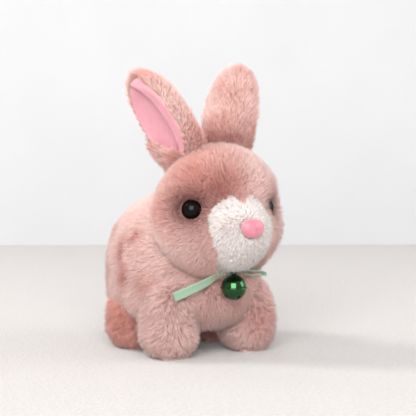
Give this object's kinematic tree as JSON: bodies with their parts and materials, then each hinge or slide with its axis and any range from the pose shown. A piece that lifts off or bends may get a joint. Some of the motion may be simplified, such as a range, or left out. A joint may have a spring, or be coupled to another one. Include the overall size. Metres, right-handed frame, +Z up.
{
  "type": "walking plush bunny",
  "caption": "Walking plush bunny toy with upright ears, a ribbon and jingle bell at the neck, and a geared drive inside that swings its legs.",
  "frame": {"origin": "centre of the bounding box in X and Y, on the ground under the soles", "axes": "+Z up, -Y the way the bunny faces, +X the bunny's left"},
  "size_m": [0.09, 0.147, 0.1733],
  "materials": {
    "pink_plush": "long soft dusty pink pile",
    "rose_plush": "long soft mottled rose pile",
    "white_plush": "long soft off-white pile",
    "pink_satin": "smooth short velvet",
    "sole_fabric": "short pile cloth",
    "green_satin": "satin ribbon",
    "steel": "bright",
    "white_plastic": "moulded",
    "grey_plastic": "moulded",
    "gear_plastic": "waxy moulded",
    "black_plastic": "moulded",
    "eye_gloss": "polished",
    "nose_gloss": "soft gloss",
    "bell_green": "lacquered, mirror-like",
    "cell_wrap": "printed sleeve, plain",
    "board": "solder mask"
  },
  "bodies": {
    "chassis": {"body_plush": "pink_plush", "tail_plush": "pink_plush", "leg_pins": "steel", "lower_housing": "white_plastic", "upper_housing": "white_plastic", "housing_screws": "steel", "battery_cells": "cell_wrap", "contact_springs": "steel", "contact_plate": "steel", "switch_body": "grey_plastic", "circuit_board": "board", "speaker": "black_plastic", "motor": "steel", "gear_pin": "steel", "neck_bracket": "grey_plastic", "neck_pin": "steel", "ribbon": "green_satin"},
    "battery_door": {"battery_door": "white_plastic", "door_screw": "steel"},
    "switch": {"switch_slider": "black_plastic"},
    "motor_rotor": {"motor_pinion": "gear_plastic"},
    "reduction": {"reduction_gear": "gear_plastic"},
    "crank": {"crank_shaft": "steel", "crank_gear": "gear_plastic", "crank_disc_right": "grey_plastic", "crank_disc_left": "grey_plastic"},
    "head": {"head_plush": "rose_plush", "muzzle_plush": "white_plush", "head_shell_front": "white_plastic", "head_shell_back": "white_plastic", "ear_pins": "steel", "eyes": "eye_gloss", "eye_washers": "white_plastic", "nose_pin": "steel"},
    "yoke": {"ear_yoke": "grey_plastic"},
    "nose": {"nose": "nose_gloss", "nose_lever": "grey_plastic"},
    "bell": {"bell_upper": "bell_green", "bell_lower": "bell_green"},
    "pellet": {"bell_pellet": "steel"},
    "front_leg_right": {"front_leg_plush_right": "pink_plush", "front_leg_frame_right": "grey_plastic", "front_sole_right": "sole_fabric"},
    "rear_leg_right": {"rear_leg_plush_right": "pink_plush", "rear_leg_frame_right": "grey_plastic", "rear_sole_right": "sole_fabric"},
    "rod_right": {"coupler_rod_right": "grey_plastic"},
    "ear_right": {"ear_plush_right": "rose_plush", "ear_lining_right": "pink_satin", "ear_stay_right": "white_plastic"},
    "front_leg_left": {"front_leg_plush_left": "pink_plush", "front_leg_frame_left": "grey_plastic", "front_sole_left": "sole_fabric"},
    "rear_leg_left": {"rear_leg_plush_left": "pink_plush", "rear_leg_frame_left": "grey_plastic", "rear_sole_left": "sole_fabric"},
    "rod_left": {"coupler_rod_left": "grey_plastic"},
    "ear_left": {"ear_plush_left": "rose_plush", "ear_lining_left": "pink_satin", "ear_stay_left": "white_plastic"}
  },
  "joints": [
    {"name": "front_leg_left_swing", "type": "hinge", "parent": "chassis", "child": "front_leg_left", "pos_m": [0.0205, -0.022, 0.03], "axis": [1, 0, 0], "range_deg": [-10, 10]},
    {"name": "rear_leg_left_swing", "type": "hinge", "parent": "chassis", "child": "rear_leg_left", "pos_m": [0.0205, 0.02, 0.03], "axis": [1, 0, 0], "range_deg": [-10, 10]},
    {"name": "rod_left_swing", "type": "hinge", "parent": "front_leg_left", "child": "rod_left", "pos_m": [0.0182, -0.022, 0.039], "axis": [1, 0, 0], "range_deg": [-10, 10]},
    {"name": "front_leg_right_swing", "type": "hinge", "parent": "chassis", "child": "front_leg_right", "pos_m": [-0.0205, -0.022, 0.03], "axis": [1, 0, 0], "range_deg": [-10, 10]},
    {"name": "rear_leg_right_swing", "type": "hinge", "parent": "chassis", "child": "rear_leg_right", "pos_m": [-0.0205, 0.02, 0.03], "axis": [1, 0, 0], "range_deg": [-10, 10]},
    {"name": "rod_right_swing", "type": "hinge", "parent": "front_leg_right", "child": "rod_right", "pos_m": [-0.0182, -0.022, 0.039], "axis": [1, 0, 0], "range_deg": [-10, 10]},
    {"name": "crank_spin", "type": "hinge", "parent": "chassis", "child": "crank", "pos_m": [0, 0.02, 0.052], "axis": [1, 0, 0], "continuous": true},
    {"name": "reduction_spin", "type": "hinge", "parent": "chassis", "child": "reduction", "pos_m": [0.004, 0.0085, 0.052], "axis": [1, 0, 0], "continuous": true},
    {"name": "motor_spin", "type": "hinge", "parent": "chassis", "child": "motor_rotor", "pos_m": [0.004, -0.003, 0.052], "axis": [1, 0, 0], "continuous": true},
    {"name": "battery_door_lift", "type": "slide", "parent": "chassis", "child": "battery_door", "axis": [0, 0, -1], "range_m": [0, 0.008]},
    {"name": "power_switch_slide", "type": "slide", "parent": "chassis", "child": "switch", "axis": [1, 0, 0], "range_m": [0, 0.003]},
    {"name": "head_nod", "type": "hinge", "parent": "chassis", "child": "head", "pos_m": [0, -0.021, 0.071], "axis": [1, 0, 0], "range_deg": [-3, 2]},
    {"name": "ear_yoke_slide", "type": "slide", "parent": "head", "child": "yoke", "axis": [0, 0, 1], "range_m": [-0.00085, 0.00085]},
    {"name": "ear_left_swing", "type": "hinge", "parent": "head", "child": "ear_left", "pos_m": [0.0115, -0.0247, 0.1081], "axis": [0, 1, 0], "range_deg": [-7, 7]},
    {"name": "ear_right_swing", "type": "hinge", "parent": "head", "child": "ear_right", "pos_m": [-0.0115, -0.0247, 0.1081], "axis": [0, 1, 0], "range_deg": [-7, 7]},
    {"name": "nose_twitch", "type": "hinge", "parent": "head", "child": "nose", "pos_m": [0, -0.056, 0.0778], "axis": [1, 0, 0], "range_deg": [-4, 4]},
    {"name": "bell_swing", "type": "hinge", "parent": "chassis", "child": "bell", "pos_m": [0, -0.0505, 0.0514], "axis": [0, 1, 0], "range_deg": [-15, 15]},
    {"name": "pellet_roll", "type": "hinge", "parent": "bell", "child": "pellet", "pos_m": [0, -0.0505, 0.0426], "axis": [0, 1, 0], "continuous": true}
  ],
  "couplings": [
    {"joint": "rear_leg_left_swing", "follows": "front_leg_left_swing", "ratio": 1},
    {"joint": "rod_left_swing", "follows": "front_leg_left_swing", "ratio": -1},
    {"joint": "front_leg_right_swing", "follows": "front_leg_left_swing", "ratio": -1},
    {"joint": "rear_leg_right_swing", "follows": "front_leg_left_swing", "ratio": -1},
    {"joint": "rod_right_swing", "follows": "front_leg_left_swing", "ratio": 1},
    {"joint": "crank_spin", "follows": "reduction_spin", "ratio": -0.27778},
    {"joint": "motor_spin", "follows": "reduction_spin", "ratio": -3.6},
    {"joint": "ear_left_swing", "follows": "ear_yoke_slide", "rad_per_m": 142},
    {"joint": "ear_right_swing", "follows": "ear_yoke_slide", "rad_per_m": -142},
    {"joint": "nose_twitch", "follows": "ear_yoke_slide", "rad_per_m": -80}
  ]
}
